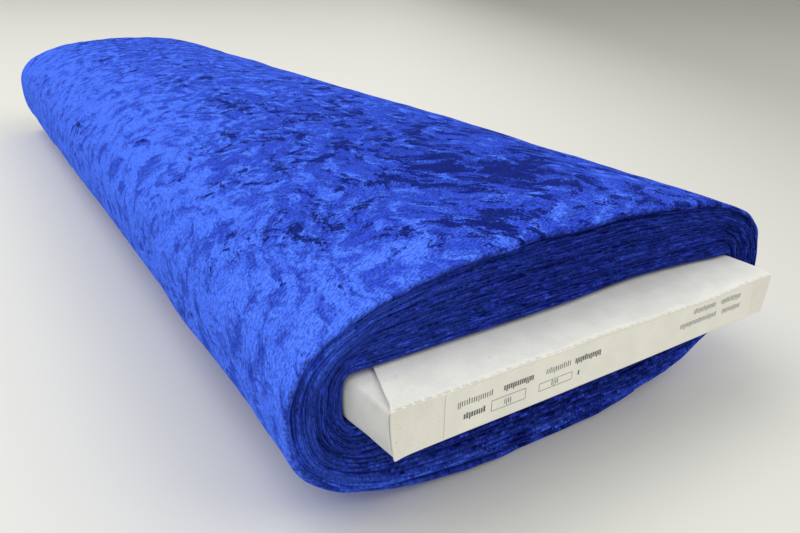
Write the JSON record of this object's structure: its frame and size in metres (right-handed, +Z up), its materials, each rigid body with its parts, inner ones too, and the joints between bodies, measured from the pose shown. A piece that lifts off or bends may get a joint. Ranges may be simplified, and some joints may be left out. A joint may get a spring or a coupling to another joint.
{
  "type": "fabric bolt",
  "caption": "Flat bolt of crushed velvet, folded in half and wound on a folded card box whose labelled end and far end open.",
  "frame": {"origin": "on the surface the bolt lies on, under the middle of the roll", "axes": "+Y along the roll from the labelled end to the far end, +Z up"},
  "size_m": [0.2562, 0.7974, 0.1019],
  "materials": {
    "white_card": "matte",
    "label_paper": "satin",
    "blue_velvet": "matte"
  },
  "bodies": {
    "bolt": {"core_top_panel": "white_card", "core_bottom_panel": "white_card", "core_left_wall": "white_card", "core_right_wall": "white_card", "core_glue_lap": "white_card", "core_stiffener": "white_card", "wound_cloth": "blue_velvet"},
    "near_end": {"near_end_panel": "white_card", "label": "label_paper"},
    "near_tuck": {"near_tuck_flap": "white_card"},
    "near_left_dust": {"near_left_dust_flap": "white_card"},
    "near_right_dust": {"near_right_dust_flap": "white_card"},
    "far_end": {"far_end_panel": "white_card"},
    "far_tuck": {"far_tuck_flap": "white_card"},
    "far_left_dust": {"far_left_dust_flap": "white_card"},
    "far_right_dust": {"far_right_dust_flap": "white_card"},
    "tail": {"cloth_tail": "blue_velvet"}
  },
  "joints": [
    {"name": "near_end_hinge", "type": "hinge", "parent": "bolt", "child": "near_end", "pos_m": [-0.00445, -0.3984, 0.0677], "axis": [-1, 0, 0], "range_deg": [0, 75]},
    {"name": "near_tuck_hinge", "type": "hinge", "parent": "near_end", "child": "near_tuck", "pos_m": [-0.00445, -0.3976, 0.0505], "axis": [1, 0, 0], "range_deg": [0, 75]},
    {"name": "near_left_dust_hinge", "type": "hinge", "parent": "bolt", "child": "near_left_dust", "pos_m": [-0.10365, -0.3973, 0.058], "axis": [0, 0, -1], "range_deg": [0, 60]},
    {"name": "near_right_dust_hinge", "type": "hinge", "parent": "bolt", "child": "near_right_dust", "pos_m": [0.09475, -0.3973, 0.058], "axis": [0, 0, 1], "range_deg": [0, 60]},
    {"name": "far_end_hinge", "type": "hinge", "parent": "bolt", "child": "far_end", "pos_m": [-0.00445, 0.3984, 0.0677], "axis": [1, 0, 0], "range_deg": [0, 75]},
    {"name": "far_tuck_hinge", "type": "hinge", "parent": "far_end", "child": "far_tuck", "pos_m": [-0.00445, 0.3976, 0.0505], "axis": [-1, 0, 0], "range_deg": [0, 75]},
    {"name": "far_left_dust_hinge", "type": "hinge", "parent": "bolt", "child": "far_left_dust", "pos_m": [-0.10365, 0.3973, 0.058], "axis": [0, 0, 1], "range_deg": [0, 60]},
    {"name": "far_right_dust_hinge", "type": "hinge", "parent": "bolt", "child": "far_right_dust", "pos_m": [0.09475, 0.3973, 0.058], "axis": [0, 0, -1], "range_deg": [0, 60]},
    {"name": "tail_fold", "type": "hinge", "parent": "bolt", "child": "tail", "pos_m": [0.08942, 0, 0.09374], "axis": [0, -1, 0], "range_deg": [0, 65]}
  ],
  "couplings": [
    {"joint": "near_tuck_hinge", "follows": "near_end_hinge", "ratio": 1},
    {"joint": "near_left_dust_hinge", "follows": "near_end_hinge", "ratio": 0.8},
    {"joint": "near_right_dust_hinge", "follows": "near_end_hinge", "ratio": 0.8},
    {"joint": "far_tuck_hinge", "follows": "far_end_hinge", "ratio": 1},
    {"joint": "far_left_dust_hinge", "follows": "far_end_hinge", "ratio": 0.8},
    {"joint": "far_right_dust_hinge", "follows": "far_end_hinge", "ratio": 0.8}
  ]
}
